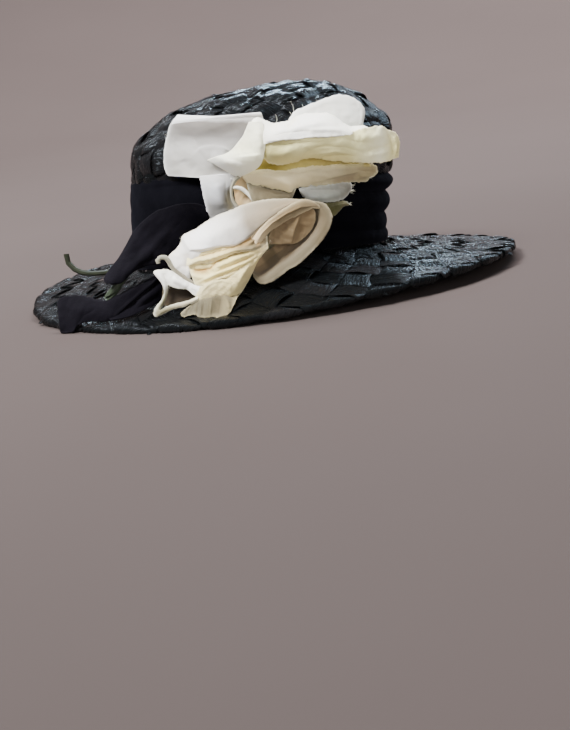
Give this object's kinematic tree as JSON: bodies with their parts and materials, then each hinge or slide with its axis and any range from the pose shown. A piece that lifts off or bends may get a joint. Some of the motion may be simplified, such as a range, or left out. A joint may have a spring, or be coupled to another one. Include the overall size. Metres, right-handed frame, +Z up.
{
  "type": "wide-brim straw hat",
  "caption": "Wide-brim hat of plaited straw with a deep crown, a draped velvet band and cloth roses with velvet leaves on one side.",
  "frame": {"origin": "centre of the brim's outline, on the surface that the hat stands on", "axes": "+X towards the front of the hat, -Y towards the trimmed side, +Z up along the crown"},
  "size_m": [0.384, 0.334, 0.1536],
  "materials": {
    "straw": "black cellophane-like plaited straw, glossy with streaks",
    "band_velvet": "black velvet, ruched",
    "leaf_velvet": "midnight blue-black velvet with a soft sheen",
    "petal_cloth": "ivory cloth, from white to beige, soft satin",
    "sepal_cloth": "yellow-green cloth, matte",
    "stem": "sage-green rubber over wire, matte"
  },
  "bodies": {
    "root": {"crown": "straw", "brim": "straw", "hat_band": "band_velvet", "rose_upper_heart": "sepal_cloth", "rose_lower_heart": "sepal_cloth", "rose_upper_lobe": "petal_cloth", "rose_upper_top": "petal_cloth", "rose_upper_front": "petal_cloth", "rose_upper_under": "petal_cloth", "rose_upper_lower": "petal_cloth", "rose_upper_left": "petal_cloth", "rose_upper_back": "petal_cloth", "rose_lower_ruffle_2": "petal_cloth", "rose_lower_ruffle_1": "petal_cloth", "rose_lower_fold_2": "petal_cloth", "rose_lower_fold_1": "petal_cloth", "rose_lower_outer": "petal_cloth", "rose_lower_curl": "petal_cloth", "rose_lower_inner": "petal_cloth", "rose_lower_cup": "petal_cloth", "rose_upper_base": "petal_cloth", "rose_upper_small": "petal_cloth", "rose_upper_sepal": "sepal_cloth", "rose_upper_tail": "petal_cloth", "leaf_upper": "leaf_velvet", "leaf_lower": "leaf_velvet", "leaf_under": "leaf_velvet", "stem_long": "stem", "stem_short": "stem"}
  },
  "joints": []
}
